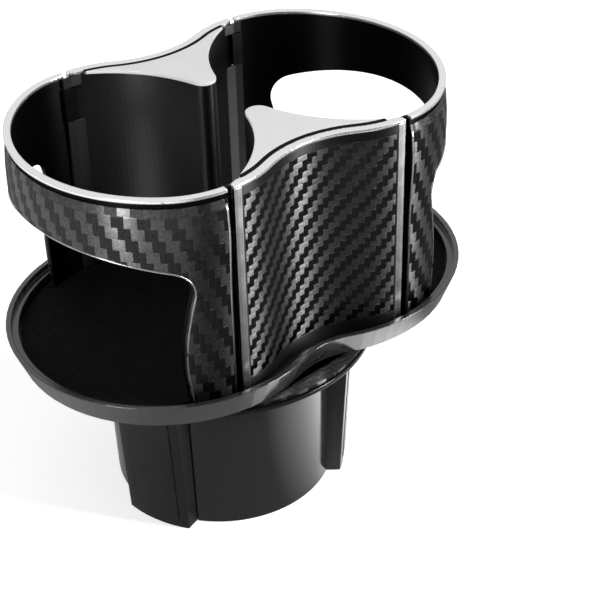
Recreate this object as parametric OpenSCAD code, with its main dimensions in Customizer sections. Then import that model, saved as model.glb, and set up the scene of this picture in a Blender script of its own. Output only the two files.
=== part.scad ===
// Two-cup expander for a car: two holders side by side over a figure-eight tray,
// on a swivelling base whose three arms spread to grip the car's own cup holder.
// Millimetres, +Z up, X along the two cups, origin on the base axis at its underside.

/* [Base] */
// Outside radius of the base at its underside
base_r_bottom = 41.2; // [40.6:0.1:44]
// How much wider the base is under its flange than at its underside
base_flare = 1.1; // [0.6:0.1:2]
// Wall thickness of the base
base_wall = 2.4; // [1.8:0.1:3]
// Height of the top of the base flange
flange_top = 63.4; // [60:0.2:70]
// Reach of the base flange beyond the wall
flange_reach = 14.5; // [13:0.1:16]
// Thickness of the base flange
flange_t = 4; // [3.8:0.1:5]
// Thickness of the flange at its edge
edge_t = 1.5; // [1:0.1:2]
// Height of the underside of the base floor, above the knob
floor_z = 6; // [5:0.1:8]
// Thickness of the base floor
floor_t = 3; // [2:0.1:4]
// Thickness of the ribs under the flange
gusset_t = 2; // [1.2:0.1:3]
// Reach of the ribs under the flange
gusset_reach = 8; // [5:0.5:9]

/* [Expanding arms] */
// Direction of the first arm, the others follow at thirds of a turn
arm_angle = -158; // [-170:1:-150]
// Width of an arm
arm_w = 25.8; // [22:0.2:28]
// How far the foot of an arm stands out from the base
arm_stand = 4.9; // [4.4:0.1:5.5]
// How much farther the head of an arm stands out than its foot
arm_flare = 2.9; // [2:0.1:3.4]
// Thickness of an arm's outer wall
arm_wall = 2.6; // [2:0.1:3]
// Gap between the head of an arm and the underside of the flange
arm_head_gap = 3.2; // [2.6:0.1:5]
// Reach of the arms' side walls behind the base wall
arm_depth = 3.4; // [2.8:0.1:3.6]
// Inward travel of an arm from the position shown
arm_in = 4; // [3:0.1:4]
// Width of an arm's tongue
tongue_w = 12; // [10:0.2:13]
// Thickness of an arm's tongue
tongue_t = 6; // [4.5:0.1:7]
// Radius of the peg under a tongue
peg_r = 2; // [1.6:0.1:2.2]
// Thickness of the rubber pad on an arm
pad_t = 1.2; // [0.8:0.1:1.6]
// Width of the rubber pad on an arm
pad_w = 19.2; // [16:0.2:20]
// Bare margin above and below a pad
pad_margin = 4; // [3:0.2:8]

/* [Scroll drive] */
// Radial travel of the arms for one turn of the knob
scroll_pitch = 12; // [11:0.2:13]
// Distance of the middle peg from the axis, less a ninth of the pitch
scroll_start = 18; // [17.6:0.1:18.4]
// Outside radius of the scroll disc
scroll_r = 32.5; // [32:0.1:32.8]
// Thickness of the scroll disc
scroll_t = 4; // [3.4:0.1:5]
// Depth of the spiral groove
groove_depth = 2.4; // [1.8:0.1:2.8]
// Radius of the hub that turns in the base floor
hub_r = 8; // [7:0.1:9]
// Outside radius of the knob
knob_r = 22; // [19:0.5:26]
// Thickness of the knob's rim
knob_t = 4.9; // [4.2:0.1:4.9]
// Radius of the finger scallops in the knob's edge
scallop_r = 3.4; // [2.5:0.1:4]

/* [Guide plate] */
// Thickness of the guide plate
guide_t = 2.5; // [2:0.1:4]
// Clearance round the guide plate
guide_gap = 0.6; // [0.4:0.1:0.8]
// Thickness of the rails that guide the tongues
rail_t = 2.2; // [1.6:0.1:2.6]
// Width of the ledge under the edge of the guide plate
ledge_w = 3.8; // [3.6:0.1:4.2]

/* [Swivel] */
// Thickness of the swivel plate
plate_t = 2.4; // [2:0.1:2.6]
// Reach of the swivel plate beyond the outside of the base wall
plate_reach = 7.4; // [6.6:0.1:8]
// Radius of the pivot under the collar
pivot_r = 12; // [10:0.1:16]
// Thickness of the sliding washer
washer_t = 0.5; // [0.3:0.1:1]
// Thickness of the collar's disc
collar_t = 1.2; // [1:0.1:1.6]
// Inset of the collar's disc from the edge of the flange
collar_inset = 0.4; // [0.2:0.1:1]
// Outside radius of the raised middle of the collar, which carries the tray
collar_seat_r = 40; // [36:0.5:42]
// Height of the raised middle of the collar
collar_rise = 0.9; // [0.5:0.1:2]
// Outside radius of the retaining ring
retainer_r = 17; // [17:0.5:22]
// Thickness of the retaining ring
retainer_t = 2.2; // [1.6:0.1:3]

/* [Tray] */
// Sideways shift of the tray and holders from the base axis
holder_shift = 10; // [0:0.5:12]
// Distance of each tray circle from the middle of the tray
tray_c = 30.1; // [29:0.1:32]
// Margin of the tray's lip outside the bands
tray_margin = 3.2; // [3:0.1:5]
// How far the tray's wall leans in from the lip to the underside
tray_lean = 3.5; // [2:0.1:3.6]
// Direction in which the end circles run into the waist arcs, in degrees
waist_deg = 68.5; // [67.5:0.5:69]
// Height of the tray
tray_h = 9.5; // [8:0.1:12]
// Thickness of the tray floor
tray_floor = 3; // [2.4:0.1:4]
// Width of the lip on top of the tray wall
lip_w = 1.8; // [1.2:0.1:2.4]
// Drop from the lip to the inner step
step_drop = 2; // [1:0.1:3]
// Width of the inner step
step_w = 2.4; // [1.6:0.1:2.4]
// Thickness of the cup mats
mat_t = 1.5; // [1:0.1:2.5]

/* [Holder] */
// Height of the holder from the tray floor to the rim
holder_h = 80.4; // [70:0.2:95]
// Distance of each band's centre from the middle of the holder
lobe_c = 24.2; // [23.6:0.1:24.8]
// Outside radius of the band round the end of each cup
lobe_r = 54; // [53.6:0.1:54.2]
// Half angle of the end arc, where the tighter corner arcs begin
corner_deg = 54; // [53.6:0.1:54.4]
// Outside radius of the corner arcs
corner_r = 35.1; // [34.8:0.1:35.6]
// Distance of a band's ends from the middle of the holder
seam_x = 36.5; // [36.3:0.1:37.4]
// Open gap between a band and a centre panel
seam_gap = 2.4; // [2:0.1:2.6]
// Wall thickness of a band behind its skin
band_wall = 1.6; // [1.4:0.1:2]
// Depth of the seat for the skins and inlays
skin_seat = 1; // [0.8:0.1:1.2]
// Outward swell of a band's skin
skin_swell = 0.9; // [0.3:0.1:1.4]
// Height of the rim trims
trim_h = 1; // [0.8:0.1:2]
// Width of the rim trims on the bands
trim_w = 2.4; // [1.8:0.1:2.6]
// Height of the bare strip between the rim trim and the skin
strip_h = 2.2; // [2:0.1:4]

/* [Handle windows] */
// Distance of the foot of a window's upright edge from the middle of the holder
window_x = 51; // [50.6:0.1:51.4]
// Swell of the upright edge between its foot and its head
window_swell = 2.4; // [0:0.1:2.6]
// How much nearer to the middle the head of the upright edge is than its foot
window_lean = 1.9; // [1:0.1:2.5]
// Height of the head of the upright edge above the tray floor
window_z = 44; // [40:0.5:48]
// Corner radius of the window
window_r = 9; // [7:0.5:10]
// Rise of the window's top edge towards the end, in degrees
window_rise = 15; // [5:1:16]

/* [Centre panels] */
// Half width of the holder across its waist
waist_y = 42.3; // [41:0.1:44]
// Distance of the panel's outer crests from the middle
crest_x = 34; // [33.5:0.1:35]
// Distance of each cup pocket's arc centre from the middle
pocket_c = 56.4; // [56:0.1:57]
// Offset of the pocket arc centres across the middle
pocket_y = 1.6; // [1:0.1:2]
// Radius of the cup pocket arcs
pocket_r = 54.7; // [54.4:0.1:54.9]
// Distance of each nose tip from the middle
nose_tip = 11.6; // [10:0.1:14]
// Wall thickness of a centre panel
panel_wall = 2.2; // [1.8:0.1:2.6]
// Width of the frame strip beside an inlay
frame_w = 3.3; // [3:0.1:6]
// Height of the frame strip under an inlay
frame_foot = 6; // [4:0.5:10]
// Width of the trim along the top of a panel
panel_trim_w = 3.2; // [2.4:0.1:4]
// Width of the groove between the panel trim and the cap
cap_groove = 1; // [0.6:0.1:1.6]
// Thickness of the cap plates
cap_t = 1.1; // [0.8:0.1:1.2]
// Distance of a panel's screw post from the middle of the holder
post_y = 31; // [28:0.5:34]
// Thickness of the ribs inside a panel
rib_t = 1.6; // [1.2:0.1:2.4]
// Thickness of the lips that close the seams from behind
lip_t = 1.1; // [0.9:0.1:1.2]
// Height of the clip tabs between the bands and the panels
tab_h = 12; // [8:0.5:14]
// Drop from the top of a panel to its clip tabs
tab_drop = 4; // [3:0.5:5]

/* [Screws] */
// Radius of the small screws
screw_r = 1.4; // [1.2:0.1:1.6]
// Thickness of the screw heads
head_t = 1.6; // [1.4:0.1:1.6]
// Reach of the guide plate's screws into the ledge
guide_bite = 4.5; // [3:0.5:6]
// Reach of the swivel plate's screws below their heads
plate_bite = 1.8; // [1.4:0.1:1.8]
// Reach of the panel screws into the panels
panel_bite = 8; // [5:0.5:8]
// Distance of the collar screws from the axis
collar_screw_x = 8; // [6:0.5:9]

/* [Clearances] */
// Running clearance between parts that move on each other
run_gap = 0.3; // [0.3:0.05:0.4]
// Fitting clearance between parts that are fixed together
fit_gap = 0.1; // [0.05:0.05:0.15]

/* [Hidden] */
$fn = 72;
eps = 0.01;
// Step between the end arcs and the corner arcs of the bands
hair = 0.02;

// Heights from the base floor up
floor_top = floor_z + floor_t;
disc_z = floor_top + run_gap;
disc_top = disc_z + scroll_t;
tongue_z = disc_top + run_gap + 0.1;
tongue_top = tongue_z + tongue_t;
guide_z = tongue_top + run_gap;
flange_bottom = flange_top - flange_t;
arm_top = flange_bottom - arm_head_gap;
plate_z = flange_top - plate_t;
collar_z = flange_top + washer_t + run_gap;
tray_z = collar_z + collar_t + collar_rise;
tray_top = tray_z + tray_h;
seat_z = tray_z + tray_floor;
rim_top = seat_z + holder_h;
rim_z = rim_top - trim_h;
skin_top = rim_z - strip_h;
inlay_top = skin_top - 1;
tab_z = rim_z - tab_drop - tab_h;
retainer_z = plate_z - run_gap - retainer_t;

// Radii that follow from the base
base_r_top = base_r_bottom + base_flare;
flange_r = base_r_top + flange_reach;
plate_r = base_r_top + plate_reach;
collar_r = flange_r - collar_inset;
guide_r = base_r_bottom - base_wall - guide_gap;
ledge_r = guide_r - ledge_w;
arm_r_bottom = base_r_bottom + arm_stand;
arm_r_top = arm_r_bottom + arm_flare;
arm_side_x = base_r_bottom - base_wall - arm_depth;

// Slots for the arms in the base wall
slot_w = arm_w + 2 * run_gap + 0.2;
slot_x = arm_side_x - arm_in - 0.5;
arm_turns = [arm_angle, arm_angle + 120, arm_angle + 240];

// Corner arcs of the bands
corner_d = lobe_r - corner_r;
corner_x = lobe_c + corner_d * cos(corner_deg);
corner_y = corner_d * sin(corner_deg);
panel_x = seam_x - seam_gap;
tab_x = panel_x - 0.8;

// Waves of the panels: one hollow arc between two crests, all of one radius
crest_y = corner_y + corner_r;
wave_d = crest_y - waist_y;
wave_r = (crest_x * crest_x + wave_d * wave_d) / (4 * wave_d);
hollow_y = waist_y + wave_r;
swell_y = crest_y - wave_r;

// Nose that closes a panel between the two pockets
nose_a = nose_tip + pocket_y;
nose_r = (pocket_c * pocket_c + nose_a * nose_a - pocket_r * pocket_r) / (2 * (pocket_r - nose_a));
nose_y = nose_tip + nose_r;

// Circles and waist of the tray
tray_r_top = lobe_r + tray_margin;
tray_waist_y = tray_c * tan(waist_deg);
tray_waist_r = tray_c / cos(waist_deg) - tray_r_top;

// Distance of each peg from the axis as shown, stepped by a third of the pitch
function peg_at(i) = scroll_start + scroll_pitch * (4 / 9 - i / 3);
function groove_at(a) = scroll_start - scroll_pitch * a / 360;
groove_half = peg_r + run_gap;
groove_a0 = -360 * (peg_at(0) + arm_in + groove_half - scroll_start) / scroll_pitch;
groove_a1 = 360 * (scroll_start - peg_at(2) + arm_in + groove_half) / scroll_pitch;
groove_steps = 96;

// Outline of one holder end, moved inwards by o: an end arc and two tighter corner arcs
module lobe_2d(o) {
    intersection() {
        translate([lobe_c, 0]) circle(lobe_r - o);
        polygon([[lobe_c, 0], [lobe_c + 2 * lobe_r * cos(corner_deg), -2 * lobe_r * sin(corner_deg)],
            [lobe_c + 3 * lobe_r, 0], [lobe_c + 2 * lobe_r * cos(corner_deg), 2 * lobe_r * sin(corner_deg)]]);
    }
    for (s = [-1, 1])
        translate([corner_x, s * corner_y]) circle(corner_r - o);
}

// Points of an arc round c from angle a to angle b
function arc(c, r, a, b, n) = [for (i = [0:n]) let (t = a + (b - a) * i / n) c + r * [cos(t), sin(t)]];

// Area under the wavy outer face of a panel, moved inwards by o
module wave_2d(o) {
    joint = atan2(hollow_y - swell_y, crest_x);
    polygon(concat([[-crest_x - 8, 0]],
        arc([-crest_x, swell_y], wave_r - o, 100, joint, 16),
        arc([0, hollow_y], wave_r + o, 180 + joint, 360 - joint, 24),
        arc([crest_x, swell_y], wave_r - o, 180 - joint, 80, 16),
        [[crest_x + 8, 0]]));
}

// Plan of a panel: moved in by o at the wave, by p at the pockets and by q at the sides
module panel_2d(o, p, q) {
    side = panel_x - q;
    pocket = [pocket_c, -pocket_y];
    to_nose = atan2(nose_y + pocket_y, pocket_c);
    to_side = acos((side - pocket_c) / (pocket_r + p));
    intersection() {
        wave_2d(o);
        polygon(concat([[side, 2 * crest_y], [-side, 2 * crest_y]],
            arc([-pocket[0], pocket[1]], pocket_r + p, 180 - to_side, to_nose, 24),
            [for (i = [1:13]) let (t = 180 + to_nose + (180 - 2 * to_nose) * i / 14)
                [0, nose_y] + (nose_r - p) * [cos(t), sin(t)]],
            arc(pocket, pocket_r + p, 180 - to_nose, to_side, 24)));
    }
}

// Window in the end of a holder, seen from the front: x outwards, z up from the tray floor
module window_2d() {
    far = 2 * lobe_r;
    slant = atan((PI * window_swell + window_lean) / window_z);
    centre = [window_x - window_lean + window_r * cos(slant), window_z + window_r * sin(slant)];
    head = centre + window_r * [-sin(window_rise), cos(window_rise)];
    polygon(concat([[far, -1], [window_x, -1]],
        [for (i = [1:11]) [window_x + window_swell * sin(15 * i) - window_lean * i / 12, window_z * i / 12]],
        arc(centre, window_r, 180 + slant, 90 + window_rise, 12),
        [[far, head[1] + (far - head[0]) * tan(window_rise)]]));
}

module window_cut() {
    translate([0, 70, seat_z]) rotate([90, 0, 0]) linear_extrude(140) window_2d();
}

// Outline of the tray, moved inwards by u: two end circles joined by two hollow waist arcs
function tray_ring(u) = concat(
    arc([tray_c, 0], tray_r_top - u, waist_deg - 180, 180 - waist_deg, 44),
    [for (i = [1:7]) [0, tray_waist_y] + (tray_waist_r + u) * waist_dir(-waist_deg, i / 8)],
    arc([-tray_c, 0], tray_r_top - u, waist_deg, 360 - waist_deg, 44),
    [for (i = [1:7]) [0, -tray_waist_y] + (tray_waist_r + u) * waist_dir(180 - waist_deg, i / 8)]);
function waist_dir(a, f) = [cos(a - f * (180 - 2 * waist_deg)), sin(a - f * (180 - 2 * waist_deg))];

module at_holder() {
    translate([holder_shift, 0, 0]) children();
}

module at_side(side) {
    translate([holder_shift, 0, 0]) mirror([side < 0 ? 1 : 0, 0, 0]) children();
}

module at_panel(side) {
    translate([holder_shift, 0, 0]) mirror([0, side < 0 ? 1 : 0, 0]) children();
}

// A pan-head screw pointing up, its shank starting at the origin
module screw_up(len) {
    $fn = 24;
    translate([0, 0, -head_t]) cylinder(h = head_t, r = screw_r * 1.9);
    cylinder(h = len, r = screw_r);
}

// Base: tapered wall, floor, ledge, flange and ribs, with three slots for the arms
module base_cup() {
    taper = (base_r_top - base_r_bottom) / flange_bottom;
    ledge_out = base_r_bottom + taper * guide_z - base_wall + 0.5;
    color([0.14, 0.14, 0.15]) difference() {
        union() {
            rotate_extrude() polygon([
                [base_r_bottom - base_wall, 0], [base_r_bottom, 0], [base_r_top, flange_bottom],
                [plate_r + 1.5, flange_bottom], [flange_r, flange_top - edge_t],
                [flange_r, flange_top], [plate_r + fit_gap, flange_top],
                [plate_r + fit_gap, plate_z], [base_r_top - base_wall, plate_z],
                [base_r_top - base_wall, flange_bottom]]);
            translate([0, 0, floor_z]) cylinder(h = floor_t, r = base_r_bottom - base_wall + 0.6);
            translate([0, 0, floor_top - eps]) difference() {
                cylinder(h = guide_z - floor_top + eps, r = ledge_out);
                translate([0, 0, -1]) cylinder(h = guide_z - floor_top + 2, r = ledge_r);
            }
            for (a = arm_turns, b = [42, 78])
                rotate([0, 0, a + b]) translate([0, gusset_t / 2, 0]) rotate([90, 0, 0])
                    linear_extrude(gusset_t) polygon([
                        [base_r_top - 1, flange_bottom - gusset_reach * 1.2],
                        [base_r_top - 1, flange_bottom + 1],
                        [base_r_top + gusset_reach, flange_bottom + 1],
                        [base_r_top + gusset_reach, flange_bottom]]);
        }
        translate([0, 0, floor_z - 1]) cylinder(h = floor_t + 2, r = hub_r + run_gap);
        for (a = arm_turns)
            rotate([0, 0, a]) translate([slot_x, -slot_w / 2, -1])
                cube([flange_r, slot_w, arm_top + run_gap + 1]);
        for (a = arm_turns)
            rotate([0, 0, a + 60]) translate([(ledge_r + guide_r) / 2, 0, guide_z - 8])
                cylinder(h = 9, r = screw_r, $fn = 24);
        for (a = [45:90:315])
            rotate([0, 0, a]) translate([(plate_r + base_r_top) / 2, 0, flange_bottom + 0.4])
                cylinder(h = flange_t, r = screw_r, $fn = 24);
    }
}

// Plate over the tongues, with a pair of rails beside each of them
module guide_plate() {
    rail_in = 15;
    color([0.20, 0.20, 0.21]) difference() {
        union() {
            translate([0, 0, guide_z]) cylinder(h = guide_t, r = guide_r);
            for (a = arm_turns, s = [-1, 1])
                rotate([0, 0, a])
                    translate([rail_in, s * (tongue_w / 2 + run_gap + rail_t / 2) - rail_t / 2, tongue_z])
                        cube([slot_x - 0.4 - rail_in, rail_t, tongue_t + run_gap + eps]);
        }
        for (a = arm_turns)
            rotate([0, 0, a]) translate([slot_x, -slot_w / 2, guide_z - 1])
                cube([20, slot_w, guide_t + 2]);
        for (a = arm_turns)
            rotate([0, 0, a + 60]) translate([(ledge_r + guide_r) / 2, 0, guide_z - 1])
                cylinder(h = guide_t + 2, r = screw_r + fit_gap, $fn = 24);
        translate([0, 0, guide_z - 1]) cylinder(h = guide_t + 2, r = hub_r);
    }
}

module guide_screws() {
    color([0.62, 0.63, 0.65]) for (a = arm_turns)
        rotate([0, 0, a + 60]) translate([(ledge_r + guide_r) / 2, 0, guide_z + guide_t])
            mirror([0, 0, 1]) screw_up(guide_t + guide_bite);
}

// Disc with the spiral groove that moves all three pegs together
module scroll_disc() {
    step = (groove_a1 - groove_a0) / groove_steps;
    outer = [for (i = [0:groove_steps]) let (a = groove_a0 + i * step)
        (groove_at(a) + groove_half) * [cos(a), sin(a)]];
    inner = [for (i = [groove_steps:-1:0]) let (a = groove_a0 + i * step)
        (groove_at(a) - groove_half) * [cos(a), sin(a)]];
    color([0.80, 0.80, 0.78]) difference() {
        translate([0, 0, disc_z]) cylinder(h = scroll_t, r = scroll_r);
        translate([0, 0, disc_top - groove_depth]) linear_extrude(groove_depth + 1)
            polygon(concat(outer, inner));
        translate([0, 0, disc_z - 1]) cylinder(h = scroll_t + 2, r = screw_r + fit_gap, $fn = 24);
    }
}

// Knob under the base, with a finger bar and a scalloped edge
module knob() {
    knob_z = floor_z - run_gap - knob_t;
    bar = 7;
    color([0.16, 0.16, 0.17]) difference() {
        union() {
            translate([0, 0, knob_z]) cylinder(h = knob_t, r = knob_r);
            translate([0, 0, knob_z]) cylinder(h = disc_z - knob_z, r = hub_r);
        }
        for (a = [0:30:330])
            rotate([0, 0, a]) translate([knob_r + scallop_r * 0.45, 0, knob_z - 1])
                cylinder(h = knob_t + 2, r = scallop_r, $fn = 32);
        for (s = [-1, 1]) intersection() {
            translate([0, 0, knob_z - 1]) cylinder(h = knob_t - 0.6, r = knob_r - scallop_r - 1.6);
            translate([-knob_r, s > 0 ? bar / 2 : -bar / 2 - knob_r, knob_z - 1])
                cube([2 * knob_r, knob_r, knob_t]);
        }
        translate([0, 0, disc_z - 6]) cylinder(h = 7, r = screw_r, $fn = 24);
    }
}

module knob_screw() {
    color([0.62, 0.63, 0.65]) translate([0, 0, disc_top]) mirror([0, 0, 1]) screw_up(scroll_t + 5.5);
}

// Gripping arm number i, drawn pointing along +X and turned to its place
module arm(i) {
    plate_in = arm_r_bottom - pad_t - 0.6;
    peg = peg_at(i);
    pad_z = pad_margin;
    color([0.15, 0.15, 0.16]) rotate([0, 0, arm_turns[i]]) difference() {
        union() {
            intersection() {
                cylinder(h = arm_top, r1 = arm_r_bottom, r2 = arm_r_top);
                difference() {
                    translate([arm_side_x, -arm_w / 2, 0]) cube([20, arm_w, arm_top]);
                    difference() {
                        translate([arm_side_x - 1, -arm_w / 2 + arm_wall, arm_wall])
                            cube([20, arm_w - 2 * arm_wall, arm_top - 2 * arm_wall]);
                        difference() {
                            cylinder(h = arm_top, r1 = arm_r_bottom + 9, r2 = arm_r_top + 9);
                            translate([0, 0, -1]) cylinder(h = arm_top + 2,
                                r1 = arm_r_bottom - arm_wall - pad_t, r2 = arm_r_top - arm_wall - pad_t);
                        }
                    }
                }
            }
            translate([peg - peg_r - 2, -tongue_w / 2, tongue_z])
                cube([plate_in - peg + peg_r + 2, tongue_w, tongue_t]);
            translate([peg, 0, disc_top - groove_depth + run_gap])
                cylinder(h = tongue_z - disc_top + groove_depth, r = peg_r, $fn = 32);
        }
        difference() {
            translate([arm_side_x, -pad_w / 2, pad_z]) cube([20, pad_w, arm_top - 2 * pad_z]);
            translate([0, 0, -1]) cylinder(h = arm_top + 2, r1 = arm_r_bottom - pad_t, r2 = arm_r_top - pad_t);
        }
    }
}

module pad(i) {
    g = fit_gap;
    color([0.08, 0.08, 0.08]) rotate([0, 0, arm_turns[i]]) intersection() {
        difference() {
            cylinder(h = arm_top, r1 = arm_r_bottom + 0.2, r2 = arm_r_top + 0.2);
            translate([0, 0, -1]) cylinder(h = arm_top + 2,
                r1 = arm_r_bottom - pad_t, r2 = arm_r_top - pad_t);
        }
        translate([arm_side_x, -pad_w / 2 + g, pad_margin + g])
            cube([20, pad_w - 2 * g, arm_top - 2 * pad_margin - 2 * g]);
    }
}

module arm_1() { arm(0); }
module arm_2() { arm(1); }
module arm_3() { arm(2); }
module pad_1() { pad(0); }
module pad_2() { pad(1); }
module pad_3() { pad(2); }

// Plate that closes the base and carries the pivot
module swivel_plate() {
    color([0.20, 0.20, 0.21]) difference() {
        translate([0, 0, plate_z]) cylinder(h = plate_t, r = plate_r);
        translate([0, 0, plate_z - 1]) cylinder(h = plate_t + 2, r = pivot_r + run_gap);
        for (a = [45:90:315])
            rotate([0, 0, a]) translate([(plate_r + base_r_top) / 2, 0, plate_z - 1]) {
                cylinder(h = plate_t + 2, r = screw_r + fit_gap, $fn = 24);
                translate([0, 0, plate_t + 1 - head_t - fit_gap])
                    cylinder(h = 3, r = screw_r * 1.9 + fit_gap, $fn = 24);
            }
    }
}

module plate_screws() {
    color([0.62, 0.63, 0.65]) for (a = [45:90:315])
        rotate([0, 0, a]) translate([(plate_r + base_r_top) / 2, 0, flange_top - head_t - fit_gap])
            mirror([0, 0, 1]) screw_up(plate_bite);
}

// Low-friction ring between the swivel plate and the collar
module swivel_washer() {
    color([0.86, 0.86, 0.84]) translate([0, 0, flange_top]) difference() {
        cylinder(h = washer_t, r = base_r_top - 1);
        translate([0, 0, -1]) cylinder(h = washer_t + 2, r = pivot_r + 12);
    }
}

// Collar under the tray: a thin disc with a raised middle, and the pivot in one moulding with it
module swivel_collar() {
    ring_top = retainer_z + retainer_t;
    color([0.13, 0.13, 0.14]) difference() {
        rotate_extrude() polygon([
            [0, ring_top], [pivot_r, ring_top], [pivot_r, collar_z], [collar_r, collar_z],
            [collar_r, collar_z + collar_t], [collar_seat_r, collar_z + collar_t],
            [collar_seat_r, tray_z], [0, tray_z]]);
        translate([0, 0, ring_top - 1]) cylinder(h = 6, r = screw_r, $fn = 24);
        for (a = [0:90:270])
            rotate([0, 0, a]) translate([collar_screw_x, 0, ring_top - 1])
                cylinder(h = tray_z - ring_top + 2, r = screw_r + fit_gap, $fn = 24);
    }
}

module retaining_ring() {
    color([0.58, 0.59, 0.61]) translate([0, 0, retainer_z]) difference() {
        cylinder(h = retainer_t, r = retainer_r);
        translate([0, 0, -1]) cylinder(h = retainer_t + 2, r = screw_r + fit_gap, $fn = 24);
        for (a = [0:90:270])
            rotate([0, 0, a]) translate([collar_screw_x, 0, -1])
                cylinder(h = retainer_t + 2, r = screw_r + fit_gap, $fn = 24);
    }
}

module pivot_screw() {
    color([0.62, 0.63, 0.65]) translate([0, 0, retainer_z]) screw_up(retainer_t + 4.9);
}

// Screws that hold the ring and the collar to the tray, their heads under the ring
module collar_screws() {
    color([0.62, 0.63, 0.65]) for (a = [0:90:270])
        rotate([0, 0, a]) translate([collar_screw_x, 0, retainer_z])
            screw_up(tray_z + tray_floor - 0.8 - retainer_z);
}

// Figure-eight tray: tapered wall, flat lip, inner step and floor, lofted through six outlines
module tray() {
    steps = [[tray_lean, tray_z], [0, tray_top], [lip_w, tray_top],
        [lip_w, tray_top - step_drop], [lip_w + step_w, tray_top - step_drop],
        [lip_w + step_w, seat_z]];
    n = len(tray_ring(0));
    last = len(steps) - 1;
    points = [for (s = steps, q = tray_ring(s[0])) [q[0], q[1], s[1]]];
    sides = [for (k = [0:last - 1], i = [0:n - 1]) let (j = (i + 1) % n)
        [k * n + i, (k + 1) * n + i, (k + 1) * n + j, k * n + j]];
    under = [[for (i = [0:n - 1]) i]];
    floor_face = [[for (i = [n - 1:-1:0]) last * n + i]];
    color([0.17, 0.17, 0.18]) difference() {
        at_holder() difference() {
            polyhedron(points, concat(under, sides, floor_face));
            for (s = [-1, 1])
                translate([0, s * post_y, tray_z - 1]) {
                    cylinder(h = tray_floor + 2, r = screw_r + fit_gap, $fn = 24);
                    cylinder(h = 1 + head_t, r = screw_r * 1.9 + fit_gap, $fn = 24);
                }
        }
        for (a = [0:90:270])
            rotate([0, 0, a]) translate([collar_screw_x, 0, tray_z - 1])
                cylinder(h = tray_floor + 0.3, r = screw_r, $fn = 24);
    }
}

// Screws that hold the two centre panels to the tray, their heads sunk into its underside
module panel_screws() {
    color([0.62, 0.63, 0.65]) at_holder() for (s = [-1, 1])
        translate([0, s * post_y, tray_z + head_t]) screw_up(tray_floor - head_t + panel_bite);
}

// Mat on the tray floor, round the band's legs and the panels' feet
module mat() {
    color([0.05, 0.05, 0.05]) translate([0, 0, seat_z]) linear_extrude(mat_t) difference() {
        intersection() {
            translate([tray_c, 0]) circle(tray_r_top - lip_w - step_w - fit_gap * 5);
            translate([2, -2 * lobe_r]) square(4 * lobe_r);
            union() {
                lobe_2d(skin_seat + band_wall + 0.6);
                translate([window_x + window_swell + 0.6, -2 * lobe_r]) square(4 * lobe_r);
            }
        }
        for (s = [0, 1]) mirror([0, s]) panel_2d(-0.6, -0.6, -0.6);
    }
}

module left_mat() { at_side(-1) mat(); }
module right_mat() { at_side(1) mat(); }

// Centre panel: a hollow moulding with a wavy face, two cup pockets, a rounded nose and seam lips
module panel() {
    difference() {
        translate([0, 0, seat_z]) linear_extrude(rim_z - seat_z) panel_2d(0, 0, 0);
        translate([0, 0, seat_z + panel_wall]) linear_extrude(rim_z - seat_z)
            difference() {
                panel_2d(skin_seat + panel_wall, panel_wall, panel_wall + 1);
                translate([-rib_t / 2, 0]) square([rib_t, 2 * crest_y]);
                translate([0, post_y]) circle(screw_r + 2.4, $fn = 32);
                translate([-20, 38]) square([40, rib_t]);
            }
        translate([0, 0, seat_z + frame_foot]) linear_extrude(inlay_top - seat_z - frame_foot)
            difference() {
                translate([-(panel_x - frame_w), waist_y - 6]) square([2 * (panel_x - frame_w), 30]);
                wave_2d(skin_seat);
            }
        translate([0, post_y, seat_z - 1]) cylinder(h = panel_bite + 1.5, r = screw_r, $fn = 24);
        for (s = [-1, 1]) tab_space(s);
    }
    for (s = [0, 1]) mirror([s, 0, 0]) {
        seam_lip(seat_z + mat_t + 0.5, tab_z - 0.5);
        seam_lip(tab_z + tab_h + 0.5, rim_z);
    }
}

// Room for the clip tab of a band at the side s of a panel
module tab_space(s) {
    g = fit_gap;
    tab_y = crest_y - skin_seat - band_wall;
    translate([s > 0 ? tab_x - g : -panel_x - 20, tab_y - 4.4 - g, tab_z - g])
        cube([panel_x + 20 - tab_x + g, 4.4 + 2 * g, tab_h + 2 * g]);
}

// Lip on the right side of a panel that closes the seam behind the band from z0 up to z1
module seam_lip(z0, z1) {
    y1 = crest_y - skin_seat - band_wall - 2 * fit_gap;
    translate([panel_x - 4, y1 - lip_t, z0]) cube([4 + seam_gap + 1, lip_t, z1 - z0]);
}

// Inlay in the wavy face
module inlay() {
    g = fit_gap;
    translate([0, 0, seat_z + frame_foot + g]) linear_extrude(inlay_top - seat_z - frame_foot - 2 * g)
        difference() {
            intersection() {
                wave_2d(g);
                translate([-(panel_x - frame_w - g), waist_y - 6]) square([2 * (panel_x - frame_w - g), 30]);
            }
            wave_2d(skin_seat);
        }
}

module cap() {
    translate([0, 0, rim_z]) linear_extrude(cap_t) panel_2d(panel_trim_w + cap_groove, 0, 0);
}

module panel_trim() {
    translate([0, 0, rim_z]) linear_extrude(trim_h) difference() {
        panel_2d(0, 0, 0);
        wave_2d(panel_trim_w);
    }
}

module front_panel() { color([0.10, 0.10, 0.11]) at_panel(-1) panel(); }
module back_panel() { color([0.10, 0.10, 0.11]) at_panel(1) panel(); }
module front_inlay() { color([0.24, 0.24, 0.26]) at_panel(-1) inlay(); }
module back_inlay() { color([0.24, 0.24, 0.26]) at_panel(1) inlay(); }
module front_cap() { color([0.86, 0.86, 0.87]) at_panel(-1) cap(); }
module back_cap() { color([0.86, 0.86, 0.87]) at_panel(1) cap(); }
module front_trim() { color([0.80, 0.80, 0.82]) at_panel(-1) panel_trim(); }
module back_trim() { color([0.80, 0.80, 0.82]) at_panel(1) panel_trim(); }

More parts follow.
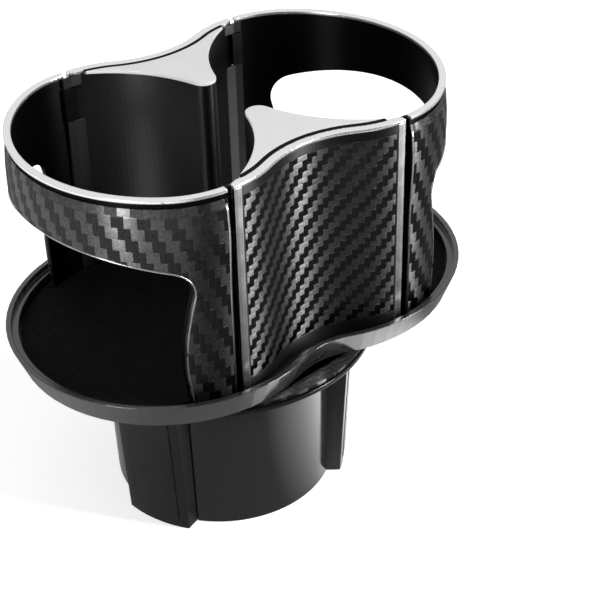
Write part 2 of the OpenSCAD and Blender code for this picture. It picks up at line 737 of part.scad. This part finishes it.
// Sweeps a section round a holder end: its x is measured outwards from the outline, its y is height.
// The corners take the second section, a hair thinner, so that the two never share a curved face.
module lobe_sweep() {
    end_deg = acos((seam_x - corner_x) / corner_r);
    for (m = [0, 1]) mirror([0, m, 0]) {
        translate([lobe_c, 0, 0]) rotate_extrude(angle = corner_deg)
            translate([lobe_r, 0]) children(0);
        translate([corner_x, corner_y, 0]) rotate([0, 0, corner_deg - 0.3])
            rotate_extrude(angle = end_deg - corner_deg + 0.3) translate([corner_r, 0]) children(1);
    }
}

// Wall of a band: two legs beside the seams and a narrow hoop round the end
module band() {
    in = skin_seat + band_wall;
    tab_y = crest_y - in;
    difference() {
        lobe_sweep() {
            band_section(0);
            band_section(hair);
        }
        window_cut();
    }
    for (m = [0, 1]) mirror([0, m, 0]) translate([0, 0, tab_z]) linear_extrude(tab_h)
        polygon([[tab_x, tab_y - 1.5], [seam_x + 1.4, tab_y - 1.5], [seam_x + 1.4, tab_y + 0.7],
            [seam_x + 0.2, tab_y + 0.7], [seam_x + 0.2, tab_y], [tab_x, tab_y]]);
}

module band_section(e) {
    translate([-skin_seat - band_wall + e, seat_z]) square([band_wall - 2 * e, rim_z - seat_z]);
}

// Skin over a band, swelling outwards below the bare strip
module skin() {
    difference() {
        lobe_sweep() {
            skin_section(0);
            skin_section(hair);
        }
        window_cut();
    }
}

module skin_section(e) {
    w = skin_swell;
    zt = skin_top;
    polygon([[-skin_seat + e, seat_z + 0.6], [-e, seat_z + 0.6], [-e, zt - 34],
        [w * 0.6 - e, zt - 22], [w - e, zt - 14], [w * 0.8 - e, zt - 8], [w * 0.3 - e, zt - 3],
        [-0.5 - e, zt], [-skin_seat + e, zt]]);
}

module rim() {
    lobe_sweep() {
        rim_section(0);
        rim_section(hair);
    }
}

module rim_section(e) {
    translate([-trim_w + e, rim_z]) square([trim_w - 2 * e, trim_h]);
}

module left_band() { color([0.09, 0.09, 0.10]) at_side(-1) band(); }
module right_band() { color([0.09, 0.09, 0.10]) at_side(1) band(); }
module left_skin() { color([0.24, 0.24, 0.26]) at_side(-1) skin(); }
module right_skin() { color([0.24, 0.24, 0.26]) at_side(1) skin(); }
module left_trim() { color([0.80, 0.80, 0.82]) at_side(-1) rim(); }
module right_trim() { color([0.80, 0.80, 0.82]) at_side(1) rim(); }

base_cup();
guide_plate();
guide_screws();
swivel_plate();
plate_screws();
swivel_washer();
scroll_disc();
knob();
knob_screw();
arm_1();
arm_2();
arm_3();
pad_1();
pad_2();
pad_3();
swivel_collar();
retaining_ring();
pivot_screw();
collar_screws();
tray();
panel_screws();
left_mat();
right_mat();
front_panel();
front_inlay();
front_cap();
front_trim();
back_panel();
back_inlay();
back_cap();
back_trim();
left_band();
left_skin();
left_trim();
right_band();
right_skin();
right_trim();
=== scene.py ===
import math

import bpy
from mathutils import Matrix, Vector
from mathutils.bvhtree import BVHTree


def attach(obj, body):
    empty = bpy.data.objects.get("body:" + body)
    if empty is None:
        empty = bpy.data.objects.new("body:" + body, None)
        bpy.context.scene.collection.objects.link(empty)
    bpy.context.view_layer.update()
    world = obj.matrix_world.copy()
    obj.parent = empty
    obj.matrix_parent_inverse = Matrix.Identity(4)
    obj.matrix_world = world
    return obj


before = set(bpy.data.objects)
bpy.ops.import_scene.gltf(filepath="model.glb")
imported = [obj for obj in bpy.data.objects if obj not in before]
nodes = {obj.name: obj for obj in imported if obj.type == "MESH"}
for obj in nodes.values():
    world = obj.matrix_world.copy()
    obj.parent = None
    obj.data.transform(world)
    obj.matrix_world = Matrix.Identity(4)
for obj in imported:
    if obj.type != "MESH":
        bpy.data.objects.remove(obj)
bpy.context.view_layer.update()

scene = bpy.context.scene

MM = 0.001
WHITE = (1.0, 1.0, 1.0, 1.0)
ENDS = ((-1, "left"), (1, "right"))      # sides along X
FACES = ((-1, "front"), (1, "back"))     # sides along Y

# Sizes in mm and degrees, as in the part's source

SHIFT = 10.0             # holders and tray sit this far along X from the base axis
LOBE_C = 24.2            # centre of an end arc, from the middle of the holder
LOBE_R = 54.0            # outside radius of an end arc
CORNER_DEG = 54.0        # half angle of the end arc, where the tighter corner arcs begin
CORNER_R = 35.1          # outside radius of the corner arcs
SEAT_Z = 69.3            # height of the tray's floor, on which the holders stand
WINDOW_X = 51.0          # foot of a window's upright edge, from the middle of the holder
WINDOW_SWELL = 2.4       # outward swell of the upright edge
WINDOW_LEAN = 1.9        # how far the upright edge leans in
WINDOW_Z = 44.0          # height of the upright edge
WINDOW_R = 9.0           # corner radius of a window
WINDOW_RISE = 15.0       # rise of a window's top edge towards the end

# Where one look gives way to another, in mm from the middle of the holder

STRIP_X = 31.4           # side of an inlay, where the chrome strip starts
LIP_X = 34.2             # side of a panel, where the dull lips in the seams start
FACE_Y = 48.8            # the chrome strips lie further out than this
FILM_X = 37.5            # end of the twill on a skin; the rest of the skin is smooth

# Twill; tows in mm

TOW = 2.05               # width of one tow
END_TOW = 4.0            # height of a weft tow on the ends
TOW_DEPTH = 0.05         # depth of the bump between tows
FACE_STRETCH = 1.04      # length of a panel's wavy face over its width
FIBRE_ACROSS = 7000.0    # scale of the noise across the fibres
FIBRE_ALONG = 500.0      # scale of the noise along the fibres
# Weft tows are painted lighter than warp tows: a painted sheen for the way the crosswise tows
# catch the light.
WEFT_TONE, WARP_TONE = (0.075, 0.145), (0.03, 0.055)      # from the darkest to the lightest fibre
WEFT_ROUGH, WARP_ROUGH = (0.32, 0.42), (0.38, 0.48)
SMOOTH_TONE, SMOOTH_ROUGH = 0.05, 0.22                    # film without tows
SHEEN = 0.85             # anisotropy of the walls and of the twill

# Added pieces, in mm

RAY_START = 120.0        # rays towards a wall start this far from the middle
BEAD_R = 0.32            # radius of the beads round the windows
BEAD_IN = 0.3            # how far these beads lie inside the edge of the cut
BEAD_STEP = 0.6          # least distance between two points of such a bead
END_BEAD_R = 0.3         # radius of the beads beside the seams
END_BEAD_X = 37.1        # their distance from the middle of the holder
END_BEAD_Z = 71.5        # height of their foot
END_BEAD_H = 73.5        # their length
SEAL_X = 33.0            # half length of the strips over the cap grooves
SEAL_STEP = 0.5          # distance between two points of a strip
SEAL_Z = 148.8, 149.85   # underside and top of a strip
GROOVE_Z = 149.35        # height at which cap and trim are looked for
GROOVE_MOST = 4.0        # a wider gap than this isn't the groove
SEAL_ON_CAP = 0.2        # how far a strip reaches over the cap
SEAL_ON_TRIM = 0.3       # how far a strip reaches over the trim

# Camera, floor and light

CAMERA_TURN, CAMERA_HEIGHT, CAMERA_ROLL = -36.8, 34.9, -1.1    # degrees
CAMERA_AIM = (41.7, 5.6, 48.9)                                 # mm
CAMERA_FAR = 579.2                                             # mm
LENS, SENSOR = 90.04, 36.0                                     # mm
MIDDLE = (SHIFT * MM, 0.0, 0.1)     # middle of the holder, at which the lamps aim
FLOOR_HALF = 3.0                    # half width of the floor, in metres
FLOOR_Z = -0.0005


# Camera

def place_camera():
    az, el, roll = (math.radians(d) for d in (CAMERA_TURN, CAMERA_HEIGHT, CAMERA_ROLL))
    back = Vector((math.sin(az) * math.cos(el), -math.cos(az) * math.cos(el), math.sin(el)))
    right = Vector((math.cos(az), math.sin(az), 0.0))
    up = back.cross(right)
    rolled_right = right * math.cos(roll) + up * math.sin(roll)
    rolled_up = up * math.cos(roll) - right * math.sin(roll)
    data = bpy.data.cameras.new("camera")
    data.lens = LENS
    data.sensor_width = SENSOR
    data.sensor_fit = "HORIZONTAL"
    data.clip_start, data.clip_end = 0.01, 10
    camera = bpy.data.objects.new("camera", data)
    scene.collection.objects.link(camera)
    matrix = Matrix((rolled_right, rolled_up, back)).transposed().to_4x4()
    matrix.translation = (Vector(CAMERA_AIM) + back * CAMERA_FAR) * MM
    camera.matrix_world = matrix
    scene.camera = camera


# Shader helpers

class Graph:
    """Small helper that adds nodes to the tree of one material or world."""

    def __init__(self, owner):
        owner.use_nodes = True
        self.owner = owner
        self.tree = owner.node_tree
        self.bsdf = self.tree.nodes.get("Principled BSDF")

    def node(self, kind, **props):
        n = self.tree.nodes.new(kind)
        for key, value in props.items():
            setattr(n, key, value)
        return n

    def put(self, socket, value):
        if isinstance(value, bpy.types.NodeSocket):
            self.tree.links.new(value, socket)
        else:
            socket.default_value = value

    def set(self, **values):
        """Set or link the sockets of the main shader, with _ for a space."""
        for key, value in values.items():
            self.put(self.bsdf.inputs[key.replace("_", " ")], value)

    def math(self, op, a, b=0.0, c=0.0):
        n = self.node("ShaderNodeMath", operation=op)
        for socket, value in zip(n.inputs, (a, b, c)):
            self.put(socket, value)
        return n.outputs[0]

    def length(self, a, b):
        squares = self.math("ADD", self.math("POWER", a, 2.0), self.math("POWER", b, 2.0))
        return self.math("SQRT", squares)

    def place(self):
        """Place on the object at rest, in metres."""
        return self.node("ShaderNodeTexCoord").outputs["Object"]

    def xyz(self, place):
        n = self.node("ShaderNodeSeparateXYZ")
        self.put(n.inputs[0], place)
        return n.outputs[0], n.outputs[1], n.outputs[2]

    def combine(self, x, y, z):
        n = self.node("ShaderNodeCombineXYZ")
        for socket, value in zip(n.inputs, (x, y, z)):
            self.put(socket, value)
        return n.outputs[0]

    def noise(self, vector, scale, detail=2.0, rough=0.5):
        n = self.node("ShaderNodeTexNoise")
        self.put(n.inputs["Vector"], vector)
        for key, value in (("Scale", scale), ("Detail", detail), ("Roughness", rough)):
            n.inputs[key].default_value = value
        return n.outputs["Fac"]

    def ramp(self, value, from_low, from_high, to_low, to_high):
        n = self.node("ShaderNodeMapRange")
        self.put(n.inputs["Value"], value)
        limits = {"From Min": from_low, "From Max": from_high, "To Min": to_low, "To Max": to_high}
        for key, limit in limits.items():
            n.inputs[key].default_value = limit
        return n.outputs["Result"]

    def spread(self, noise, low, high):
        """Spread the usual range of a noise over low to high."""
        return self.ramp(noise, 0.3, 0.7, low, high)

    def step(self, value, start, width):
        """0 before start and 1 from start + width on, both in mm."""
        return self.ramp(value, start * MM, (start + width) * MM, 0.0, 1.0)

    def mix(self, factor, a, b):
        n = self.node("ShaderNodeMix", data_type="FLOAT")
        self.put(n.inputs["Factor"], factor)
        self.put(n.inputs[2], a)
        self.put(n.inputs[3], b)
        return n.outputs[0]

    def mix_rgb(self, factor, a, b):
        n = self.node("ShaderNodeMix", data_type="RGBA")
        self.put(n.inputs["Factor"], factor)
        self.put(n.inputs[6], a)
        self.put(n.inputs[7], b)
        return n.outputs[2]

    def mix_shader(self, factor, a, b):
        n = self.node("ShaderNodeMixShader")
        for socket, value in zip(n.inputs, (factor, a, b)):
            self.put(socket, value)
        return n.outputs[0]

    def light(self, kind, strength):
        """White Background or Emission."""
        n = self.node(f"ShaderNode{kind}")
        self.put(n.inputs["Color"], WHITE)
        self.put(n.inputs["Strength"], strength)
        return n.outputs[0]

    def bump(self, height, depth, edge=0.0):
        """Bump of the depth given in mm, with edges rounded by edge mm in the shading."""
        n = self.node("ShaderNodeBump")
        n.inputs["Strength"].default_value = 1.0
        n.inputs["Distance"].default_value = depth * MM
        self.put(n.inputs["Height"], height)
        if edge:
            bevel = self.node("ShaderNodeBevel", samples=4)
            bevel.inputs["Radius"].default_value = edge * MM
            self.put(n.inputs["Normal"], bevel.outputs[0])
        self.set(Normal=n.outputs[0])

    def brush(self, amount):
        """Sheen that runs up and down the walls."""
        self.set(Anisotropic=amount, Tangent=self.combine(0.0, 0.0, 1.0))


def paint(name):
    return Graph(bpy.data.materials.new(name))


def grey(tone, tint=0.0):
    return (tone, tone, tone * (1 + tint), 1)


# Materials

def surface(name, tone, rough, grain, depth, edge, tint=0.0, brushed=0.0, **settings):
    """Mottled material with a fine grain.

    tone and rough are (low, high, scale of the noise, its detail), grain is the scale and detail
    of the noise in the bump, depth and edge are in mm, and settings go to the main shader.
    """
    g = paint(name)
    place = g.place()
    mottle = g.noise(place, *tone[2:])
    g.set(Base_Color=g.mix_rgb(mottle, grey(tone[0], tint), grey(tone[1], tint)))
    g.set(Roughness=g.spread(g.noise(place, *rough[2:]), *rough[:2]), **settings)
    if brushed:
        g.brush(brushed)
    g.bump(g.noise(place, *grain), depth, edge)
    return g.owner


def plastic(name, tone, rough, spread, grain, depth, edge, tint=0.04, level=0.5, brushed=0.0):
    """Moulded plastic: tone and gloss vary a little round tone and rough."""
    return surface(name, (tone * 0.8, tone * 1.2, 90, 3), (rough - spread, rough + spread, 45, 4),
                   (grain, 2, 0.6), depth, edge, tint, brushed, Specular_IOR_Level=level)


def rubber(name, tone, rough, depth, level):
    return surface(name, (*tone, 140, 4), (*rough, 500, 3), (1900, 3), depth, 0.3,
                   Specular_IOR_Level=level)


def panel_black():
    """Panel moulding in black, with dark chrome strips between the seams and the inlay. The
    strips' tone carries a painted reflection, lighter near the rim and darker near the foot.
    """
    g = paint("panel_black")
    place = g.place()
    x, y, z = g.xyz(place)
    off = g.math("ABSOLUTE", g.math("SUBTRACT", x, SHIFT * MM))
    strip = g.math("MULTIPLY", g.step(off, STRIP_X, 0.2),
                   g.step(g.math("ABSOLUTE", y), FACE_Y, 0.2))
    lip = g.step(off, LIP_X, 0.1)
    mottle = g.noise(place, 90, 3)
    black = g.mix_rgb(mottle, grey(0.001), grey(0.002))
    # Painted reflection: the chrome's tone rises with height, on top of its own mottle.
    chrome = g.math("MULTIPLY", g.ramp(z, 0.07, 0.14, 0.55, 1.3),
                    g.ramp(mottle, 0.0, 1.0, 0.34, 0.42))
    g.set(Base_Color=g.mix_rgb(strip, black, g.combine(chrome, chrome, chrome)))
    black_rough = g.mix(lip, g.spread(g.noise(place, 45, 4), 0.38, 0.46), 0.95)
    chrome_rough = g.spread(g.noise(place, 200, 3), 0.2, 0.26)
    g.set(Roughness=g.mix(strip, black_rough, chrome_rough))
    g.set(Metallic=strip, Specular_IOR_Level=0.3)
    g.brush(SHEEN)
    g.bump(g.noise(place, 1800, 2, 0.6), 0.005, 0.5)
    return g.owner


def twill(name, u_of, v_of=None, film_x=0.0, lift=1.0, tall=TOW, turn=-1):
    """Glossy twill: warp and weft tows cross two over, two under, each with its own sheen.

    u_of and v_of give the place across and along the warp, which is upright without v_of.
    Nearer than film_x to the middle of the holder, in mm, the film is smooth. lift brightens
    the tows, tall is the height of a weft tow, and turn is the lean of the steps: -1 to the
    right, 1 to the left.
    """
    g = paint(name)
    place = g.place()
    x, y, z = g.xyz(place)
    u = u_of(g, x, y)
    v = v_of(g, x, y) if v_of else z
    cell_u = g.math("DIVIDE", u, TOW * MM)
    cell_v = g.math("DIVIDE", v, tall * MM)
    tow_u, tow_v = g.math("FLOOR", cell_u), g.math("FLOOR", cell_v)
    in_u, in_v = g.math("SUBTRACT", cell_u, tow_u), g.math("SUBTRACT", cell_v, tow_v)
    phase = g.math("FLOORED_MODULO", g.math("MULTIPLY_ADD", tow_u, float(turn), tow_v), 4.0)
    warp = g.math("LESS_THAN", phase, 1.5)

    def crown(inside):
        off = g.math("ABSOLUTE", g.math("SUBTRACT", inside, 0.5))
        return g.math("SUBTRACT", 1.0, g.math("POWER", g.math("MULTIPLY", off, 2.0), 3.0))

    def fibres_of(scale_u, scale_v, seed):
        scaled = g.combine(g.math("MULTIPLY", u, scale_u), g.math("MULTIPLY", v, scale_v), seed)
        return g.noise(scaled, 1.0, 2)

    def per_tow(weft_range, warp_range, factor=1.0):
        pair = [g.spread(fibres, low * factor, high * factor)
                for low, high in (weft_range, warp_range)]
        return g.mix(warp, *pair)

    fibres = g.mix(warp, fibres_of(FIBRE_ALONG, FIBRE_ACROSS, 5.0),
                   fibres_of(FIBRE_ACROSS, FIBRE_ALONG, 0.0))
    speck = g.spread(g.noise(place, 1500, 2, 0.6), 0.7, 1.3)
    # Painted sheen: the weft tows take the lighter tone range.
    tone = g.math("MULTIPLY", per_tow(WEFT_TONE, WARP_TONE, lift), speck)
    rough = per_tow(WEFT_ROUGH, WARP_ROUGH)
    height = g.math("ADD", g.mix(warp, crown(in_v), crown(in_u)),
                    g.math("MULTIPLY", fibres, g.mix(warp, 0.3, 0.08)))
    if film_x:
        off = g.math("ABSOLUTE", g.math("SUBTRACT", x, SHIFT * MM))
        film = g.step(off, film_x, 0.15)
        tone = g.mix(film, SMOOTH_TONE, tone)
        rough = g.mix(film, SMOOTH_ROUGH, rough)
        height = g.math("MULTIPLY", height, film)
    g.set(Base_Color=g.combine(tone, tone, g.math("MULTIPLY", tone, 1.03)))
    g.set(Roughness=rough, Metallic=1.0, Anisotropic_Rotation=g.mix(warp, 0.0, 0.25))
    g.brush(SHEEN)
    g.bump(height, TOW_DEPTH, 0.3)
    return g.owner


def around_end(side):
    """Place along the round of an end."""
    def u_of(g, x, y):
        out = g.math("SUBTRACT", x, (SHIFT + side * LOBE_C) * MM)
        angle = g.math("ARCTAN2", y, g.math("MULTIPLY", out, float(side)))
        return g.math("MULTIPLY", angle, LOBE_R * MM * side)

    return u_of


def across_face(side):
    """Place along a panel's wavy face; side is 1 on the front and -1 on the back."""
    def u_of(g, x, y):
        return g.math("MULTIPLY", x, FACE_STRETCH * side)

    return u_of


def silver_trim(side):
    """Bright silver with fine lines along the rim; side is -1 or 1 on an end, 0 on a panel."""
    g = paint(f"bright_silver_{side + 1}")
    place = g.place()
    x, y, _ = g.xyz(place)
    across = y
    if side:
        out = g.math("MULTIPLY", g.math("SUBTRACT", x, (SHIFT + side * LOBE_C) * MM), float(side))
        y = g.math("ABSOLUTE", y)
        corner = math.radians(CORNER_DEG)
        corner_d = (LOBE_R - CORNER_R) * MM
        from_corner = g.length(g.math("SUBTRACT", out, corner_d * math.cos(corner)),
                               g.math("SUBTRACT", y, corner_d * math.sin(corner)))
        past = g.math("GREATER_THAN", g.math("ARCTAN2", y, out), corner)
        across = g.mix(past, g.length(out, y), g.math("ADD", from_corner, corner_d))
    lines = g.math("SINE", g.math("MULTIPLY", across, 2 * math.pi / (0.55 * MM)))
    g.set(Base_Color=g.mix_rgb(g.ramp(lines, -1, 1, 0, 1), grey(0.84), grey(0.96)))
    g.set(Metallic=0.9, Roughness=g.spread(g.noise(place, 200, 3), 0.16, 0.24))
    g.bump(lines, 0.01, 0.6)
    return g.owner


def painted_highlight_edge(name, low, high):
    """Polished edge with a painted highlight: the tone is painted low near the foot of the holder
    and high near the rim.
    """
    g = paint(name)
    place = g.place()
    z = g.xyz(place)[2]
    tone = g.math("MULTIPLY", g.ramp(z, 0.08, 0.14, low, high),
                  g.spread(g.noise(place, 120, 3), 0.8, 1.2))
    g.set(Base_Color=g.combine(tone, tone, tone), Metallic=0.9)
    g.set(Roughness=g.spread(g.noise(place, 300, 3), 0.22, 0.32))
    g.bump(g.noise(place, 2500, 2), 0.004)
    return g.owner


# Materials on the CAD nodes

def dress(material, *names):
    for name in names:
        mesh = nodes[name].data
        mesh.materials.clear()
        mesh.materials.append(material)


gloss_black = plastic("gloss_black", tone=0.005, rough=0.16, spread=0.03,
                      grain=700, depth=0.002, edge=0.5)
arm_black = plastic("arm_black", tone=0.007, rough=0.34, spread=0.04,
                    grain=1500, depth=0.01, edge=0.7, level=0.2)
tray_black = plastic("tray_black", tone=0.014, rough=0.20, spread=0.03,
                     grain=900, depth=0.002, edge=0.6, level=1.0)
band_black = plastic("grain_black", tone=0.001, rough=0.36, spread=0.04,
                     grain=1800, depth=0.01, edge=0.5, level=0.06, brushed=SHEEN)
inner_black = plastic("inner_black", tone=0.010, rough=0.45, spread=0.05,
                      grain=1500, depth=0.03, edge=0.3)
white_nylon = plastic("white_nylon", tone=0.72, rough=0.42, spread=0.05,
                      grain=900, depth=0.01, edge=0.3, tint=-0.04)
satin_silver = surface("satin_silver", (0.70, 0.78, 60, 3), (0.38, 0.46, 120, 4),
                       (2600, 2), depth=0.012, edge=0.4, Metallic=0.35)
plated_steel = surface("plated_steel", (0.5, 0.62, 300, 3), (0.25, 0.4, 900, 3),
                       (3000, 2), depth=0.01, edge=0.2, Metallic=1.0)
mat_rubber = rubber("mat_rubber", (0.002, 0.007), (0.62, 0.82), depth=0.06, level=0.06)
pad_rubber = rubber("pad_rubber", (0.005, 0.010), (0.38, 0.46), depth=0.01, level=0.2)
collar_twill = twill("twill_collar", lambda g, x, y: x, lambda g, x, y: y, lift=0.9)

dress(gloss_black, "base_cup")
dress(collar_twill, "swivel_collar")
dress(arm_black, "arm_1", "arm_2", "arm_3")
dress(pad_rubber, "pad_1", "pad_2", "pad_3")
dress(tray_black, "tray")
dress(mat_rubber, "left_mat", "right_mat")
dress(band_black, "left_band", "right_band")
dress(panel_black(), "front_panel", "back_panel")
dress(inner_black, "guide_plate", "swivel_plate", "knob")
dress(white_nylon, "swivel_washer", "scroll_disc")
dress(plated_steel, "guide_screws", "plate_screws", "knob_screw", "retaining_ring",
      "pivot_screw", "collar_screws", "panel_screws")
dress(satin_silver, "front_cap", "back_cap")
dress(silver_trim(0), "front_trim", "back_trim")
for side, end in ENDS:
    dress(silver_trim(side), f"{end}_trim")
    dress(twill(f"twill_{end}", around_end(side), film_x=FILM_X, tall=END_TOW, turn=1),
          f"{end}_skin")
for front, face in FACES:
    dress(twill(f"twill_{face}", across_face(-front)), f"{face}_inlay")


# Added pieces

# Bright beads along the window and seam edges stand in for the highlights on those edges; their
# tone is a painted highlight that fades towards the foot.
window_highlight_metal = painted_highlight_edge("painted_highlight_edge", 0.16, 0.5)
end_highlight_metal = painted_highlight_edge("end_painted_highlight_edge", 0.06, 0.6)


def tree_of(name):
    """Search tree over the mesh of a CAD node, in the shared frame."""
    obj = nodes[name]
    points = [obj.matrix_world @ v.co for v in obj.data.vertices]
    return BVHTree.FromPolygons(points, [list(f.vertices) for f in obj.data.polygons])


def wall_y(tree, x, z, start, way):
    """Y where a ray along Y from start, towards way (-1 or 1), meets the tree; None if nowhere."""
    hit = tree.ray_cast(Vector((x, start, z)), Vector((0.0, way, 0.0)))[0]
    return None if hit is None else hit.y


def add_mesh(name, points, faces, material, smooth):
    mesh = bpy.data.meshes.new(name)
    mesh.from_pydata(points, [], faces)
    mesh.update()
    mesh.materials.append(material)
    for f in mesh.polygons:
        f.use_smooth = smooth
    obj = bpy.data.objects.new(name, mesh)
    scene.collection.objects.link(obj)
    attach(obj, "holder")
    return obj


def tube(name, path, radius, material, sides=8):
    """Round bead along a line of points; radius in mm."""
    points, faces = [], []
    last = len(path) - 1
    for i, p in enumerate(path):
        along = (path[min(i + 1, last)] - path[max(i - 1, 0)]).normalized()
        across = along.cross(Vector((0.0, 0.0, 1.0)))
        if across.length < 0.05:
            across = along.cross(Vector((1.0, 0.0, 0.0)))
        across.normalize()
        up = across.cross(along)
        for k in range(sides):
            turn = 2 * math.pi * k / sides
            points.append(p + (across * math.cos(turn) + up * math.sin(turn)) * radius * MM)
    for i in range(last):
        for k in range(sides):
            a, b = i * sides + k, i * sides + (k + 1) % sides
            faces.append((a, b, b + sides, a + sides))
    faces.append(tuple(range(sides))[::-1])
    faces.append(tuple(last * sides + k for k in range(sides)))
    return add_mesh(name, points, faces, material, smooth=True)


def window_line():
    """Edge of the window in an end: distance out from the middle and height, both in mm."""
    slant = math.degrees(math.atan((math.pi * WINDOW_SWELL + WINDOW_LEAN) / WINDOW_Z))
    rise = math.radians(WINDOW_RISE)
    line = []
    for i in range(2, 23):
        part = i / 24
        swell = WINDOW_SWELL * math.sin(math.pi * part)
        line.append((WINDOW_X + swell - WINDOW_LEAN * part, WINDOW_Z * part))
    centre_x = WINDOW_X - WINDOW_LEAN + WINDOW_R * math.cos(math.radians(slant))
    centre_z = WINDOW_Z + WINDOW_R * math.sin(math.radians(slant))
    first, final = 180 + slant, 90 + WINDOW_RISE
    for i in range(13):
        turn = math.radians(first + (final - first) * i / 12)
        line.append((centre_x + WINDOW_R * math.cos(turn), centre_z + WINDOW_R * math.sin(turn)))
    head_x = centre_x - WINDOW_R * math.sin(rise)
    head_z = centre_z + WINDOW_R * math.cos(rise)
    line += [(head_x + i, head_z + i * math.tan(rise)) for i in range(1, 40)]
    return [(x, z + SEAT_Z) for x, z in line]


def window_bead(name, skin, side, front):
    """Thin bead where the window cuts the outside of a skin."""
    path = []
    for out, z in window_line():
        x = (SHIFT + side * (out - BEAD_IN)) * MM
        y = wall_y(skin, x, z * MM, front * RAY_START * MM, -front)
        if y is None or y * front < 2 * MM:
            continue
        p = Vector((x, y, z * MM))
        if not path or (p - path[-1]).length > BEAD_STEP * MM:
            path.append(p)
    return tube(name, path, BEAD_R, window_highlight_metal)


def end_bead(name, skin, side, front):
    """Upright bead on the rounded end of a skin, beside the seam."""
    x = (SHIFT + side * END_BEAD_X) * MM
    path = []
    for i in range(25):
        z = (END_BEAD_Z + END_BEAD_H * i / 24) * MM
        y = wall_y(skin, x, z, front * RAY_START * MM, -front)
        if y is not None:
            path.append(Vector((x, y, z)))
    return tube(name, path, END_BEAD_R, end_highlight_metal)


def seal(name, cap, trim, front):
    """Black strip over the groove between a cap and its trim."""
    points, faces = [], []
    half = round(SEAL_X / SEAL_STEP)
    for i in range(-half, half + 1):
        x = (SHIFT + i * SEAL_STEP) * MM
        cap_y = wall_y(cap, x, GROOVE_Z * MM, front * RAY_START * MM, -front)
        trim_y = wall_y(trim, x, GROOVE_Z * MM, 0.0, front)
        if cap_y is None or trim_y is None or abs(trim_y - cap_y) > GROOVE_MOST * MM:
            continue
        for z in SEAL_Z:
            points.append((x, cap_y - front * SEAL_ON_CAP * MM, z * MM))
            points.append((x, trim_y + front * SEAL_ON_TRIM * MM, z * MM))
    for a in range(0, len(points) - 4, 4):
        faces += [(a, a + 4, a + 5, a + 1), (a + 2, a + 3, a + 7, a + 6),
                  (a, a + 2, a + 6, a + 4), (a + 1, a + 5, a + 7, a + 3)]
    end = len(points) - 4
    faces += [(0, 1, 3, 2), (end, end + 2, end + 3, end + 1)]
    return add_mesh(name, points, faces, mat_rubber, smooth=False)


for side, end in ENDS:
    skin = tree_of(f"{end}_skin")
    for front, face in FACES:
        window_bead(f"{end}_bead_{face}", skin, side, front)
    for front, face in FACES:
        end_bead(f"{end}_end_bead_{face}", skin, side, front)
for front, face in FACES:
    strip = seal(f"{face}_seal", tree_of(f"{face}_cap"), tree_of(f"{face}_trim"), front)


# Floor and light

def make_floor():
    """White floor that keeps the shadow.

    In reflections it is dark, apart from the far left and a bright patch close to the right of
    the object, which give the walls and the twill their light and dark.
    """
    mesh = bpy.data.meshes.new("floor")
    half = FLOOR_HALF
    corners = [(-half, -half), (half, -half), (half, half), (-half, half)]
    mesh.from_pydata([(x, y, FLOOR_Z) for x, y in corners], [], [(0, 1, 2, 3)])
    floor = bpy.data.objects.new("floor", mesh)
    scene.collection.objects.link(floor)
    g = paint("floor_white")
    ray = g.node("ShaderNodeLightPath").outputs
    g.set(Base_Color=grey(0.8), Roughness=0.7, Specular_IOR_Level=0.1)
    g.set(Emission_Color=WHITE, Emission_Strength=g.math("MULTIPLY", ray["Is Camera Ray"], 0.5))
    place = g.place()
    x = g.xyz(place)[0]
    away = g.node("ShaderNodeVectorMath", operation="LENGTH")
    g.put(away.inputs[0], place)
    near = g.ramp(away.outputs["Value"], 0.09, 0.12, 4.5, 0.22)
    right = g.math("MULTIPLY", near, g.ramp(x, 0.0, 0.09, 0.07, 1.0))
    left = g.ramp(x, -0.16, -0.07, 1.0, 0.07)
    mirrored = g.light("Emission", g.math("ADD", left, right))
    seen = g.mix_shader(ray["Is Glossy Ray"], g.bsdf.outputs[0], mirrored)
    g.put(g.tree.nodes["Material Output"].inputs["Surface"], seen)
    mesh.materials.append(g.owner)


def make_world():
    """White to the camera, dim on the object; in reflections it brightens up to the back right."""
    world = bpy.data.worlds.new("studio")
    scene.world = world
    g = Graph(world)
    ray = g.node("ShaderNodeLightPath").outputs
    toward = g.node("ShaderNodeVectorMath", operation="DOT_PRODUCT")
    g.put(toward.inputs[0], g.node("ShaderNodeTexCoord").outputs["Generated"])
    toward.inputs[1].default_value = (0.35, 0.55, 0.76)
    mirrored = g.light("Background", g.ramp(toward.outputs["Value"], 0.1, 0.7, 0.03, 0.8))
    seen = g.mix_shader(ray["Is Camera Ray"], g.light("Background", 0.28),
                        g.light("Background", 1.0))
    both = g.mix_shader(ray["Is Glossy Ray"], seen, mirrored)
    g.put(g.tree.nodes["World Output"].inputs["Surface"], both)


def around(azimuth, height):
    """Place a metre from the middle of the holder, at these angles; azimuth 0 is the front."""
    az, el = math.radians(azimuth), math.radians(height)
    way = Vector((math.sin(az) * math.cos(el), -math.cos(az) * math.cos(el), math.sin(el)))
    return Vector(MIDDLE) + way


def lamp(name, size, power, place):
    """Rectangular lamp that aims at the middle of the holder."""
    data = bpy.data.lights.new(name, "AREA")
    data.shape = "RECTANGLE"
    data.size, data.size_y = size
    data.energy = power
    obj = bpy.data.objects.new(name, data)
    scene.collection.objects.link(obj)
    obj.location = place
    obj.rotation_mode = "QUATERNION"
    obj.rotation_quaternion = (Vector(MIDDLE) - Vector(place)).to_track_quat("-Z", "Y")


place_camera()
make_floor()
make_world()
lamp("left_strip", size=(0.2, 0.7), power=8.5, place=around(-68, 16))
lamp("right_strip", size=(0.2, 0.7), power=19.0, place=around(38, 16))
lamp("top", size=(1.0, 1.0), power=1.6, place=(0.05, 0.15, 1.2))

scene.view_settings.view_transform = "Standard"
